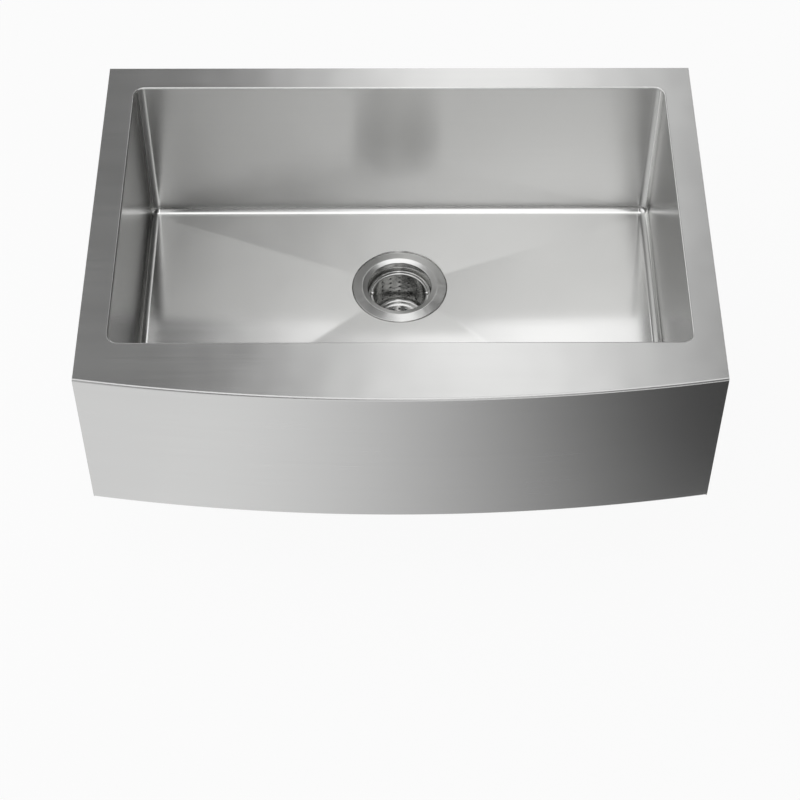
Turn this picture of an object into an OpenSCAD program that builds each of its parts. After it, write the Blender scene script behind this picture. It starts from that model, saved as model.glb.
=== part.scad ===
// Farmhouse sink in sheet steel: one bowl, bowed apron and a basket strainer.
// Millimetres, +Z up, front towards -Y. The origin is the middle of the rear ledge's underside,
// so the sheet of the deck lies on Z = 0 and everything below it hangs from the deck.

/* [Deck and apron] */
// Overall width of the sink
sink_w = 762; // [640:1:910]
// Length of each side edge, from the rear edge to a front corner
side_d = 530; // [470:1:640]
// How far the apron bows out in its middle
bow_rise = 30; // [15:1:45]
// Height of the apron, from the top of the deck
apron_h = 228; // [180:1:280]
// Thickness of the sheet
sheet_t = 1.5; // [1:0.1:2]
// Width of the rear ledge
rear_ledge_w = 38; // [30:1:50]
// Width of each side ledge
side_ledge_w = 36; // [28:1:50]
// Width of the front ledge at its two ends
front_ledge_w = 58; // [50:1:75]
// Outer radius of the fold between the front ledge and the apron
fold_r = 3.5; // [2.5:0.1:6]
// Outer radius of the fold at the foot of the apron
hem_r = 3; // [2.5:0.1:5]
// Width of the hem that is turned in under the apron
hem_w = 16; // [8:1:24]
// How far each end of the apron is turned back along the side
return_d = 44; // [25:1:52]

/* [Bowl] */
// Depth of the bowl at its walls
bowl_d = 229; // [180:1:275]
// Fall of the creased floor towards the drain
floor_fall = 8; // [4:0.5:12]
// Inner radius of the upright corners and of the cove round the floor
bowl_r = 13; // [10:0.5:20]
// Distance of the drain's centre from the back wall
drain_back = 137; // [110:1:170]
// Diameter of the drain hole
drain_d = 90; // [80:0.5:100]
// Thickness of the damping pads
pad_t = 3; // [2:0.5:4]

/* [Strainer] */
// Thickness of the pressed steel of the strainer
press_t = 1.2; // [0.8:0.1:1.5]
// Width of the sloping outer band of the flange
flange_w = 15; // [11:0.5:19]
// Width of the funnel between the flange's ridge and the mouth
funnel_w = 5.2; // [4:0.1:7]
// Height of the ridge above the dished seat
ridge_h = 4.2; // [3:0.1:5.5]
// Depth at which the basket's rim rests
rest_depth = 14; // [11:0.5:18]
// Width of the rest that carries the basket's rim
rest_w = 4.8; // [4:0.1:6]
// Depth of the basket below its rim
basket_h = 52; // [42:1:62]
// Outer radius of the threaded outlet tail
tail_r = 20; // [16:0.5:24]
// Wall of the outlet tail
tail_t = 3; // [2:0.5:4]
// Length of the free end of the outlet tail
tail_free_h = 16; // [12:1:22]
// Height of the support shell's straight upper part
shell_upper_h = 68; // [60:1:80]
// Height of the support shell's tapering foot
shell_foot_h = 18; // [14:1:24]
// Height of the lock nut
nut_h = 13; // [10:1:17]

/* [Hidden] */
$fn = 96;
bow_fn = 480;

// Colours of the steel, rubber and plastic.
steel = [0.74, 0.75, 0.76];
bright_steel = [0.84, 0.85, 0.86];
wire_steel = [0.66, 0.67, 0.68];
rubber = [0.07, 0.07, 0.08];
pad_grey = [0.30, 0.31, 0.33];
nut_green = [0.36, 0.43, 0.41];

// One overrun for all cuts, and the gap at which a loose piece rests on another.
cut = 5;
rest_gap = 0.3;

// Deck: Z = 0 is its underside.
deck_top = sheet_t;
apron_foot = deck_top - apron_h;
rear_y = rear_ledge_w / 2;
corner_y = rear_y - side_d;
bow_r = (pow(sink_w / 2, 2) + pow(bow_rise, 2)) / (2 * bow_rise);
bow_y = corner_y - bow_rise + bow_r;
bow_half_angle = asin(sink_w / 2 / bow_r);

// Bowl: its inner opening, and its outer skin one sheet further out.
open_w = sink_w - 2 * side_ledge_w;
open_d = side_d - rear_ledge_w - front_ledge_w;
open_back = -rear_ledge_w / 2;
open_front = open_back - open_d;
open_mid = (open_back + open_front) / 2;
skin_w = open_w + 2 * sheet_t;
skin_r = bowl_r + sheet_t;
skin_back = open_back + sheet_t;
skin_front = open_front - sheet_t;
drain_y = open_back - drain_back;
drain_r = drain_d / 2;

// Floor: a rectangle inside the cove, creased to a low point at the drain.
floor_edge = deck_top - bowl_d;
floor_low = floor_edge - floor_fall;
cove_z = floor_edge + bowl_r;
floor_side = open_w / 2 - bowl_r;
floor_back = drain_back - bowl_r;
floor_front = open_d - drain_back - bowl_r;
floor_depth_below = 30;
under_spread = 1.1;

// Strainer: each radius follows the drain hole through a named clearance.
cup_gap = 1.1;
mouth_r = drain_r - cup_gap - press_t;
mouth_drop = 2;
ridge_r = mouth_r + funnel_w;
flange_r = ridge_r + flange_w;
seat_gap = 1.5;
seat_r = flange_r + seat_gap;
cup_r = mouth_r - rest_w;
basket_under_gap = 4;
cup_floor = -rest_depth - basket_h - basket_under_gap;
cup_round = 7;
tail_gap = 0.3;
outlet_hole_r = tail_r + tail_gap;
gasket_edge_gap = 2;
gasket_hole_gap = 1;

// Below the sink: washer, support shell, rubber ring and nut on the outlet tail.
washer_t = 3;
washer_w = 10;
shell_rim_t = 2;
shell_gap = 2.5;
shell_top_r = drain_r + shell_gap;
shell_waist_r = cup_r + press_t + shell_gap;
shell_top = -sheet_t - washer_t;
shell_waist = shell_top - shell_upper_h;
shell_foot = shell_waist - shell_foot_h;
shell_foot_w = 7;
tail_washer_t = 6;
tail_collar_w = 4;
tail_collar_t = 2;
tail_step = 1;
thread_below_nut = 3;
tail_thread_end = shell_foot - tail_washer_t - nut_h - thread_below_nut;
nut_w = 6;
nut_lugs = 6;
nut_lug_w = 5;
nut_lug_out = 5;

// Basket: wall, bottom, rim and bail.
basket_t = 0.8;
basket_gap = 1.2;
basket_r = cup_r - basket_gap;
basket_rim_r = mouth_r - 2 * basket_gap;
basket_rim_t = 1.2;
basket_top = -rest_depth + rest_gap + basket_rim_t;
basket_foot = basket_top - basket_rim_t - basket_h;
basket_round = 5;
wall_columns = 18;
wall_rows = 5;
wall_row_pitch = 8.6;
wall_first_row = 8;
perforation_r = 1.5;
perforation_fn = 8;
basket_floor_rise = 4;
basket_plateau_r = 22;
floor_hole_rings = [[0, 1], [9, 6], [17, 12]];
bail_wire_r = 1.1;
bail_pin_r = 0.9;
bail_pin_gap = 0.05;
bail_r = basket_rim_r - bail_wire_r - bail_pin_gap;
bail_z = basket_top + rest_gap + bail_wire_r;
ear_t = 1.3;
ear_gap = 0.5;
ear_w = 5;
ear_out = bail_r - bail_wire_r - ear_gap;
ear_h = bail_z - basket_top + bail_pin_r + ear_t;

// Shared solids

module tube(outer_r, inner_r, h) {
  difference() {
    cylinder(r = outer_r, h = h);
    translate([0, 0, -cut]) cylinder(r = inner_r, h = h + 2 * cut);
  }
}

module turned(outline) rotate_extrude() polygon(outline);

module at_drain() translate([0, drain_y, floor_low]) children();

module wire_x(l, r) rotate([0, 90, 0]) cylinder(r = r, h = l, center = true);

// The four corners of the floor, each turned so that the corner points to +X and +Y.
module at_corners() {
  y_back = drain_y + floor_back;
  y_front = drain_y - floor_front;
  places = [[floor_side, y_back], [-floor_side, y_back], [-floor_side, y_front], [floor_side, y_front]];
  for (i = [0:3]) translate(places[i]) rotate([0, 0, i * 90]) children();
}

// Bowl walls: flat sheets between rolled corners, from the cove up to the top of the deck

module flat_wall(w) translate([-w / 2, 0, cove_z]) cube([w, sheet_t, deck_top - cove_z]);

module back_wall() color(steel) translate([0, open_back]) flat_wall(2 * floor_side);

module front_wall() color(steel) translate([0, skin_front]) flat_wall(2 * floor_side);

module side_wall(turn) color(steel) translate([0, open_mid]) rotate([0, 0, turn])
  translate([0, open_w / 2]) flat_wall(floor_back + floor_front);

module left_wall() side_wall(90);

module right_wall() side_wall(-90);

// A rolled corner, with the small web of the deck that fills the square outside it.
module wall_corners() {
  color(steel) at_corners() {
    translate([0, 0, cove_z]) linear_extrude(deck_top - cove_z) difference() {
      intersection() {
        circle(skin_r);
        square(skin_r);
      }
      circle(bowl_r);
    }
    linear_extrude(sheet_t) difference() {
      square(skin_r);
      circle(bowl_r);
    }
  }
}

// Quarter of a bent sheet: the section of the cove, from the floor up to the wall.
module cove_section() {
  intersection() {
    difference() {
      circle(skin_r);
      circle(bowl_r);
    }
    translate([0, -skin_r]) square(skin_r);
  }
}

// One straight run of the cove, some way out from the middle of the bowl.
module cove_run(l, out, turn) color(steel) translate([0, open_mid, cove_z]) rotate([0, 0, turn])
  translate([out, 0]) rotate([90, 0, 0]) linear_extrude(l, center = true) cove_section();

module back_cove() cove_run(2 * floor_side, (floor_back + floor_front) / 2, 90);

module front_cove() cove_run(2 * floor_side, (floor_back + floor_front) / 2, -90);

module left_cove() cove_run(floor_back + floor_front, floor_side, 180);

module right_cove() cove_run(floor_back + floor_front, floor_side, 0);

// Ball corners, where two walls and the floor meet.
module cove_corners() color(steel) translate([0, 0, cove_z]) at_corners()
  rotate_extrude(angle = 90) cove_section();

// All that lies under the creased floor lowered by some amount. The spread draws the same
// four planes further out from the low point.
module under_floor(lower, spread) {
  x = floor_side * spread;
  back = floor_back * spread;
  front = -floor_front * spread;
  top = floor_fall * spread - lower;
  foot = -floor_depth_below * spread;
  corners = [[-x, front], [x, front], [x, back], [-x, back]];
  translate([0, drain_y, floor_low])
    polyhedron(
      points = concat([for (c = corners) [c.x, c.y, foot]], [for (c = corners) [c.x, c.y, top]],
        [[0, 0, -lower]]),
      faces = concat([[0, 1, 2, 3]], [for (i = [0:3]) [i, i + 4, (i + 1) % 4 + 4, (i + 1) % 4]],
        [for (i = [0:3]) [i + 4, 8, (i + 1) % 4 + 4]])
    );
}

// Floor with four creases that fall from its corners to the drain.
module creased_floor() {
  color(steel) difference() {
    under_floor(0, 1);
    under_floor(sheet_t, under_spread);
    at_drain() translate([0, 0, -sheet_t - cut])
      cylinder(r = seat_r + sheet_t, h = floor_fall + sheet_t + 2 * cut);
  }
}

// Round dish with the drain hole: its rim meets the creased floor all round.
module drain_seat() {
  color(steel) difference() {
    intersection() {
      under_floor(0, 1);
      at_drain() translate([0, 0, -sheet_t]) cylinder(r = seat_r + sheet_t, h = floor_fall + sheet_t + cut);
    }
    at_drain() cylinder(r = seat_r, h = floor_fall + cut);
    at_drain() translate([0, 0, -sheet_t - cut]) cylinder(r = drain_r, h = sheet_t + 2 * cut);
  }
}

// Ledges: the strips of the deck round the bowl

module ledge(x, y, w, d) color(steel) translate([x, y]) cube([w, d, sheet_t]);

module rear_ledge() ledge(-sink_w / 2, skin_back, sink_w, rear_y - skin_back);

module right_ledge() ledge(skin_w / 2, skin_front, (sink_w - skin_w) / 2, skin_back - skin_front);

module left_ledge() mirror([1, 0, 0]) right_ledge();

module front_ledge() {
  color(steel) linear_extrude(sheet_t) intersection() {
    translate([-sink_w / 2, corner_y - bow_rise]) square([sink_w, skin_front - corner_y + bow_rise]);
    translate([0, bow_y]) circle(bow_r - fold_r, $fn = bow_fn);
  }
}

// Apron: fold, bowed face, hem and turned ends

// Section through the apron, with X measured from the centre of the bow.
module apron_section() {
  translate([bow_r - fold_r, deck_top - fold_r]) intersection() {
    difference() {
      circle(fold_r);
      circle(fold_r - sheet_t);
    }
    square(fold_r);
  }
  translate([bow_r - sheet_t, apron_foot + hem_r]) square([sheet_t, apron_h - fold_r - hem_r]);
  translate([bow_r - hem_r, apron_foot + hem_r]) intersection() {
    difference() {
      circle(hem_r);
      circle(hem_r - sheet_t);
    }
    translate([0, -hem_r]) square(hem_r);
  }
  translate([bow_r - hem_r - hem_w, apron_foot]) square([hem_w, sheet_t]);
}

module bowed_face() {
  intersection() {
    translate([0, bow_y, 0]) rotate([0, 0, -90 - bow_half_angle - 1])
      rotate_extrude(angle = 2 * bow_half_angle + 2, $fn = bow_fn) apron_section();
    translate([-sink_w / 2, corner_y - bow_rise - cut, apron_foot - cut])
      cube([sink_w, bow_rise + front_ledge_w + cut, apron_h + 2 * cut]);
  }
}

module apron_return() {
  intersection() {
    translate([sink_w / 2 - sheet_t, corner_y, apron_foot]) cube([sheet_t, return_d, apron_h - sheet_t]);
    translate([0, bow_y, apron_foot - cut])
      cylinder(r = bow_r - sheet_t / 2, h = apron_h + cut, $fn = bow_fn);
  }
}

module apron_front() {
  color(steel) {
    bowed_face();
    apron_return();
    mirror([1, 0, 0]) apron_return();
  }
}

// Damping pads: rubber sheets stuck to the outside of the bowl

floor_pad_w = 190;
floor_pad_d = 260;
floor_pad_gap = 26;
wall_pad_h = 120;
wall_pad_drop = 50;
back_pad_w = 420;
side_pad_d = 260;
front_pad_w = 460;

module floor_pads() {
  color(pad_grey) intersection() {
    difference() {
      under_floor(sheet_t, 1);
      under_floor(sheet_t + pad_t, under_spread);
    }
    for (side = [-1, 1])
      translate([side * (seat_r + floor_pad_gap + floor_pad_w / 2), open_mid, floor_low])
        cube([floor_pad_w, floor_pad_d, 4 * floor_fall], center = true);
  }
}

module wall_pad(w) translate([-w / 2, 0, -wall_pad_drop - wall_pad_h]) cube([w, pad_t, wall_pad_h]);

module back_pad() color(pad_grey) translate([0, skin_back]) wall_pad(back_pad_w);

module side_pads() {
  color(pad_grey) for (turn = [-90, 90])
    translate([0, open_mid]) rotate([0, 0, turn]) translate([0, skin_w / 2]) wall_pad(side_pad_d);
}

module front_pad() color(pad_grey) translate([0, skin_front - pad_t]) wall_pad(front_pad_w);

// Basket strainer: heights are measured from the dished seat of the floor

module strainer_body() {
  color(steel) at_drain() turned([
    [flange_r, 0],
    [flange_r, press_t],
    [ridge_r + press_t, ridge_h],
    [ridge_r - press_t, ridge_h],
    [mouth_r, ridge_h - mouth_drop],
    [mouth_r, -rest_depth],
    [cup_r, -rest_depth],
    [cup_r, cup_floor + cup_round],
    [cup_r - cup_round, cup_floor],
    [outlet_hole_r, cup_floor],
    [outlet_hole_r, cup_floor - press_t],
    [cup_r - cup_round, cup_floor - press_t],
    [cup_r + press_t, cup_floor + cup_round - press_t],
    [cup_r + press_t, -rest_depth - press_t],
    [mouth_r + press_t, -rest_depth - press_t],
    [mouth_r + press_t, ridge_h - mouth_drop - press_t],
    [ridge_r, ridge_h - press_t],
  ]);
}

// Soft ring in the wedge under the flange.
module flange_gasket() {
  inner = drain_r + gasket_hole_gap;
  outer = flange_r - gasket_edge_gap;
  top = ridge_h - press_t;
  band_slope = top / flange_w;
  funnel_slope = mouth_drop / (funnel_w - press_t);
  color(rubber) at_drain() turned([
    [inner, 0],
    [outer, 0],
    [outer, band_slope * gasket_edge_gap],
    [ridge_r, top],
    [inner, top - funnel_slope * (ridge_r - inner)],
  ]);
}

module sink_washer() color(rubber) at_drain()
  translate([0, 0, shell_top]) tube(drain_r + washer_w, drain_r + cup_gap, washer_t);

// Bell-shaped shell that the nut draws up against the washer.
module support_shell() {
  foot_r = tail_r + shell_foot_w;
  color(bright_steel) at_drain() turned([
    [shell_top_r - press_t, shell_top],
    [drain_r + washer_w, shell_top],
    [drain_r + washer_w, shell_top - shell_rim_t],
    [shell_top_r, shell_top - shell_rim_t],
    [shell_waist_r, shell_waist],
    [foot_r, shell_foot + press_t],
    [foot_r, shell_foot],
    [outlet_hole_r, shell_foot],
    [outlet_hole_r, shell_foot + press_t],
    [foot_r - press_t, shell_foot + press_t],
    [shell_waist_r - press_t, shell_waist + press_t],
  ]);
}

module outlet_tail() {
  bore_r = tail_r - tail_t;
  end_z = tail_thread_end - tail_free_h;
  color(nut_green) at_drain() difference() {
    union() {
      translate([0, 0, cup_floor]) cylinder(r = outlet_hole_r + tail_collar_w, h = tail_collar_t);
      translate([0, 0, tail_thread_end]) cylinder(r = tail_r, h = cup_floor - tail_thread_end);
      translate([0, 0, end_z]) cylinder(r = tail_r - tail_step, h = tail_free_h);
    }
    translate([0, 0, end_z - cut]) cylinder(r = bore_r, h = cup_floor - end_z + 3 * cut);
  }
}

module tail_washer() color(rubber) at_drain()
  translate([0, 0, shell_foot - tail_washer_t]) tube(tail_r + shell_foot_w, tail_r, tail_washer_t);

module lock_nut() {
  nut_r = tail_r + nut_w;
  color(nut_green) at_drain() translate([0, 0, shell_foot - tail_washer_t - nut_h]) difference() {
    union() {
      cylinder(r = nut_r, h = nut_h);
      for (i = [0:nut_lugs - 1]) rotate([0, 0, i * 360 / nut_lugs])
        translate([tail_r, -nut_lug_w / 2]) cube([nut_w + nut_lug_out, nut_lug_w, nut_h]);
    }
    translate([0, 0, -cut]) cylinder(r = tail_r, h = nut_h + 2 * cut);
  }
}

// Basket: perforated wall and bottom, rim with two ears, and a bail that folds flat

module basket_wall() {
  inner_r = basket_r - basket_t;
  color(steel) at_drain() difference() {
    turned([
      [inner_r, basket_top],
      [basket_r, basket_top],
      [basket_r, basket_foot + basket_round],
      [basket_r - basket_round, basket_foot],
      [basket_plateau_r, basket_foot],
      [basket_plateau_r, basket_foot + basket_t],
      [inner_r - basket_round, basket_foot + basket_t],
      [inner_r, basket_foot + basket_t + basket_round],
    ]);
    for (row = [0:wall_rows - 1], column = [0:wall_columns - 1])
      translate([0, 0, basket_top - wall_first_row - row * wall_row_pitch])
        rotate([0, 0, (column + 0.5) * 360 / wall_columns]) rotate([0, 90, 0])
          cylinder(r = perforation_r, h = basket_r + cut, $fn = perforation_fn);
  }
}

// Bright raised disc that closes the basket's foot.
module basket_floor() {
  color(bright_steel) at_drain() translate([0, 0, basket_foot]) difference() {
    cylinder(r = basket_plateau_r, h = basket_floor_rise);
    translate([0, 0, -cut])
      cylinder(r = basket_plateau_r - basket_t, h = cut + basket_floor_rise - basket_t);
    for (ring = floor_hole_rings, i = [0:ring[1] - 1])
      rotate([0, 0, i * 360 / ring[1]]) translate([ring[0], 0, -cut])
        cylinder(r = perforation_r, h = 2 * cut + basket_floor_rise, $fn = perforation_fn);
  }
}

module basket_rim() {
  color(bright_steel) at_drain() difference() {
    union() {
      translate([0, 0, basket_top - basket_rim_t]) tube(basket_rim_r, basket_r, basket_rim_t);
      for (side = [-1, 1]) translate([side * (ear_out - ear_t / 2), 0, basket_top])
        translate([-ear_t / 2, -ear_w / 2, -basket_rim_t]) cube([ear_t, ear_w, ear_h + basket_rim_t]);
    }
    translate([0, 0, basket_top - basket_rim_t - cut]) cylinder(r = basket_r, h = cut + basket_rim_t);
    translate([0, 0, bail_z]) wire_x(2 * basket_rim_r, bail_pin_r + bail_pin_gap);
  }
}

module bail() {
  pin_l = bail_wire_r + ear_gap + 2 * ear_t;
  color(wire_steel) at_drain() translate([0, 0, bail_z]) {
    rotate_extrude(angle = 180) translate([bail_r, 0]) circle(bail_wire_r);
    for (side = [-1, 1]) translate([side * (bail_r - pin_l / 2), 0, 0]) wire_x(pin_l, bail_pin_r);
  }
}

back_wall();
front_wall();
left_wall();
right_wall();
wall_corners();
back_cove();
front_cove();
left_cove();
right_cove();
cove_corners();
creased_floor();
drain_seat();
rear_ledge();
left_ledge();
right_ledge();
front_ledge();
apron_front();
floor_pads();
back_pad();
side_pads();
front_pad();
strainer_body();
flange_gasket();
sink_washer();
support_shell();
outlet_tail();
tail_washer();
lock_nut();
basket_wall();
basket_floor();
basket_rim();
bail();
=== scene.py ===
"""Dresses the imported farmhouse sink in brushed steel, for its picture and its other views.

Metres, +Z up, front towards -Y, with the deck's underside on Z = 0, as in the frame. Skins are
worked out as grids of points: one way along runs round the sink, the other down its profile.
"""

import math

import bpy
import numpy as np
from mathutils import Matrix, Vector


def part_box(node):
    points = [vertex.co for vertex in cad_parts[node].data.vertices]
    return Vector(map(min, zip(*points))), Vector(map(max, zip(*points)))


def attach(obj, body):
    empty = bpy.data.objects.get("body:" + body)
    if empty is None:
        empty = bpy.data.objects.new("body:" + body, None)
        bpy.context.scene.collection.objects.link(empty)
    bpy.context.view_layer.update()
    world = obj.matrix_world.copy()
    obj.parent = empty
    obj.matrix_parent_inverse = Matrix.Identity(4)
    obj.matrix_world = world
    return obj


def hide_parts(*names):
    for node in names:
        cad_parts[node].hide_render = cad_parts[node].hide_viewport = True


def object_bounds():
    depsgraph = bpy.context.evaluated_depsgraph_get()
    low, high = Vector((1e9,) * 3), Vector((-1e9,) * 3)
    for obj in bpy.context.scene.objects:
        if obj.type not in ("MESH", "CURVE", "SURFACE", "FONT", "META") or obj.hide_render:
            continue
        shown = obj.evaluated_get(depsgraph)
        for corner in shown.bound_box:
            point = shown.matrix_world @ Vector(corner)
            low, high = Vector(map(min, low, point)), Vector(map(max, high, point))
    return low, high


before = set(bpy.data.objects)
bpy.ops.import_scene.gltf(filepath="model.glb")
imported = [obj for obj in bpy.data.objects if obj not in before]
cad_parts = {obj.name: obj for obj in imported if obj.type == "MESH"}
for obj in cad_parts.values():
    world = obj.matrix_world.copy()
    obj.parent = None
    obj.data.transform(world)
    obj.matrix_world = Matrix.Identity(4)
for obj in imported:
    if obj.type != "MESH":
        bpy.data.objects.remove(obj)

cad_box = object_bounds()

# Sizes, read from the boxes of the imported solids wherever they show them.
MM = 0.001
wall_low, wall_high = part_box("back_wall")
SHEET = wall_high.y - wall_low.y
DECK_TOP = wall_high.z
COVE_Z = wall_low.z
FLOOR_X = wall_high.x
OPEN_BACK = wall_low.y
OPEN_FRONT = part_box("front_wall")[1].y
BOWL_R = -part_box("left_wall")[1].x - FLOOR_X
FLOOR_EDGE = COVE_Z - BOWL_R
FLOOR_BACK = OPEN_BACK - BOWL_R
FLOOR_FRONT = OPEN_FRONT + BOWL_R
seat_low, seat_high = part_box("drain_seat")
SEAT_Z = seat_low.z + SHEET
SEAT_R = seat_high.x - SHEET
DRAIN_Y = (seat_low.y + seat_high.y) / 2
SINK_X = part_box("rear_ledge")[1].x
REAR_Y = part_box("rear_ledge")[1].y
apron_low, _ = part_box("apron_front")
BOW_Y = apron_low.y
CORNER_Y = BOW_Y + 30 * MM
BOW_R = (SINK_X**2 + (CORNER_Y - BOW_Y) ** 2) / (2 * (CORNER_Y - BOW_Y))
BOW_CENTRE = BOW_Y + BOW_R
APRON_FOOT = apron_low.z
FOLD_R = 3.5 * MM
HEM_R = 3 * MM
HEM_W = 16 * MM
RETURN_W, RETURN_MIDDLE = 44 * MM, 20 * MM
RIM_R = 2 * MM
COVE_R = 12 * MM
DISH_R = 63 * MM
DISH_STEP = 1.3 * MM
CREASE_SOFTNESS = 0.012

# Sizes of the strainer's own parts, in mm from the drain's axis and from the dished seat.
BASKET_TOP, BASKET_FOOT = -12.5, -65.7
INNER_R, BASKET_T, PLATEAU_R = 35.9, 0.8, 22.0
WALL_COLUMNS, WALL_ROWS, WALL_PITCH = 18, 5, 8.6
WALL_HOLE_R, BOTTOM_HOLE_R = 1.6, 1.5
FIRST_ROW = BASKET_TOP - 8
EAR_X, EAR_T, EAR_BORE_R = 37.55, 1.3, 0.95
BAIL_R, BAIL_Z, WIRE_R, PIN_R, PIN_BEND_R = 39.15, -11.1, 1.1, 0.9, 1.6
THREAD_TOP, THREAD_FOOT, THREAD_PITCH, THREAD_DEPTH = -70.3, -112.4, 1.5, 0.9
NUT_FOOT, NUT_TOP, NUT_BORE_R, NUT_R, LUG_H, NUT_EDGE = -109.5, -96.5, 20.0, 26, 5, 0.8


# Shapes


def arc(centre, radius, start, end, steps):
    """Points on part of a circle: its centre plus the radius times cosine and sine, from start to end in degrees."""
    turn = np.radians(np.linspace(start, end, steps + 1))
    return np.stack([centre[0] + radius * np.cos(turn), centre[1] + radius * np.sin(turn)], 1)


def rounded(corners, steps=6):
    """A profile through corners (x, z, radius): each bend is an arc that touches both of its sides, and a point
    close to each end of the arc keeps the flats beside it flat."""
    points = np.array([c[:2] for c in corners], float)
    path = [points[:1]]
    for before, at, after, radius in zip(points, points[1:], points[2:], [c[2] for c in corners[1:-1]]):
        a = (before - at) / np.linalg.norm(before - at)
        b = (after - at) / np.linalg.norm(after - at)
        half = math.acos(np.clip(a @ b, -1, 1)) / 2
        reach = radius / math.tan(half)
        middle = at + (a + b) / np.linalg.norm(a + b) * radius / math.sin(half)
        first, last = at + a * reach - middle, at + b * reach - middle
        share = np.linspace(0, 1, steps + 1)[:, None]
        sweep = math.pi - 2 * half
        bend = (np.sin((1 - share) * sweep) * first + np.sin(share * sweep) * last) / math.sin(sweep) + middle
        margin = min(reach, 0.4 * MM)
        path += [bend[:1] + a * margin, bend, bend[-1:] + b * margin]
    return np.concatenate(path + [points[-1:]])


def gather(count):
    """Shares from 0 to 1 that crowd towards both ends, after the cosine of a half turn."""
    return (1 - np.cos(np.linspace(0, math.pi, count))) / 2


def behind(grid, depth, closed):
    """The grid moved back along its normals, which are the cross product of its steps in both directions."""
    along = (np.roll(grid, -1, 0) - np.roll(grid, 1, 0)) if closed else np.gradient(grid, axis=0)
    across = np.gradient(grid, axis=1)
    normal = np.cross(along, across)
    return grid - depth * normal / np.linalg.norm(normal, axis=2, keepdims=True)


def quads(a, b, c, d):
    return np.stack([a, b, c, d], -1).reshape(-1, 4)


def sheet_faces(rows, columns, closed):
    """Faces of a sheet whose front and back are grids of rows by columns: both grids, and the rims between them."""
    index = np.arange(rows * columns).reshape(rows, columns)
    if closed:
        index = np.concatenate([index, index[:1]])
    under = index + rows * columns
    faces = [
        quads(index[:-1, :-1], index[1:, :-1], index[1:, 1:], index[:-1, 1:]),
        quads(under[:-1, 1:], under[1:, 1:], under[1:, :-1], under[:-1, :-1]),
        quads(index[1:, 0], index[:-1, 0], under[:-1, 0], under[1:, 0]),
        quads(index[:-1, -1], index[1:, -1], under[1:, -1], under[:-1, -1]),
    ]
    if not closed:
        faces.append(quads(index[0, :-1], index[0, 1:], under[0, 1:], under[0, :-1]))
        faces.append(quads(index[-1, 1:], index[-1, :-1], under[-1, :-1], under[-1, 1:]))
    return np.concatenate(faces)


def lay_grain(mesh):
    """UV in metres: each face takes the plan or side view that it faces most, with U along the brushing."""
    count = len(mesh.loops)
    corner = np.empty(count, int)
    mesh.loops.foreach_get("vertex_index", corner)
    place = np.empty(len(mesh.vertices) * 3)
    mesh.vertices.foreach_get("co", place)
    place = place.reshape(-1, 3)[corner]
    facing = np.empty(len(mesh.polygons) * 3)
    mesh.polygons.foreach_get("normal", facing)
    size = np.empty(len(mesh.polygons), int)
    mesh.polygons.foreach_get("loop_total", size)
    facing = np.repeat(np.abs(facing.reshape(-1, 3)), size, axis=0)
    most = facing.argmax(1)
    side, front = most == 0, most == 1
    grain = place[:, :2].copy()
    grain[front, 1] = place[front, 2]
    grain[side] = place[side][:, 1:]
    mesh.uv_layers.new(name="grain").data.foreach_set("uv", grain.ravel())


def add_piece(name, points, faces, body, slot, finish, stands_for=()):
    """Puts a piece into the scene, smooth but for its sharp edges, riding on its body."""
    mesh = bpy.data.meshes.new(name)
    mesh.from_pydata(points.reshape(-1, 3).tolist(), [], faces if isinstance(faces, list) else faces.tolist())
    mesh.update()
    mesh.shade_smooth()
    mesh.set_sharp_from_angle(angle=math.radians(38))
    lay_grain(mesh)
    mesh.materials.append(finish)
    piece = bpy.data.objects.new(name, mesh)
    bpy.context.scene.collection.objects.link(piece)
    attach(piece, body)
    if stands_for:
        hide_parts(*stands_for)
    return piece


def add_sheet(name, front, back, closed, *rest, **more):
    return add_piece(name, np.concatenate([front.reshape(-1, 3), back.reshape(-1, 3)]),
                     sheet_faces(front.shape[0], front.shape[1], closed), *rest, **more)


def turned(profile, steps=144):
    """A profile of (radius, height) points carried round the drain's axis, with heights from the dished seat."""
    turn = np.linspace(0, 2 * math.pi, steps, endpoint=False)[:, None]
    radius, height = profile[None, :, 0], profile[None, :, 1]
    return np.stack([radius * np.cos(turn), DRAIN_Y + radius * np.sin(turn),
                     SEAT_Z + height + 0 * turn], 2)


def add_turned_sheet(name, profile, thick, *rest, **more):
    front = turned(profile)
    return add_sheet(name, front, behind(front, thick, True), True, *rest, **more)


# The bowl and the deck


def walk_round(steps_long=60, steps_short=48, steps_corner=12):
    """The floor's rectangle walked once round from its back right corner, with the outward direction of each
    point: a corner repeats while its direction swings a quarter turn, and the points of a side crowd to its ends."""
    ends = [(FLOOR_X, FLOOR_BACK), (-FLOOR_X, FLOOR_BACK), (-FLOOR_X, FLOOR_FRONT), (FLOOR_X, FLOOR_FRONT)]
    core, out = [], []
    for i, steps in enumerate([steps_long, steps_short] * 2):
        at, after = np.array(ends[i]), np.array(ends[(i + 1) % 4])
        turn = np.radians(np.linspace(i * 90, i * 90 + 90, steps_corner + 1))
        core.append(np.repeat(at[None], len(turn), 0))
        out.append(np.stack([np.cos(turn), np.sin(turn)], 1))
        share = gather(steps + 1)[1:-1, None]
        core.append(at + (after - at) * share)
        out.append(np.repeat(out[-1][-1:], steps - 1, 0))
    return np.concatenate(core), np.concatenate(out)


CORE, OUT = walk_round()


def smooth_step(value):
    value = np.clip(value, 0, 1)
    return value * value * (3 - 2 * value)


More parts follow.
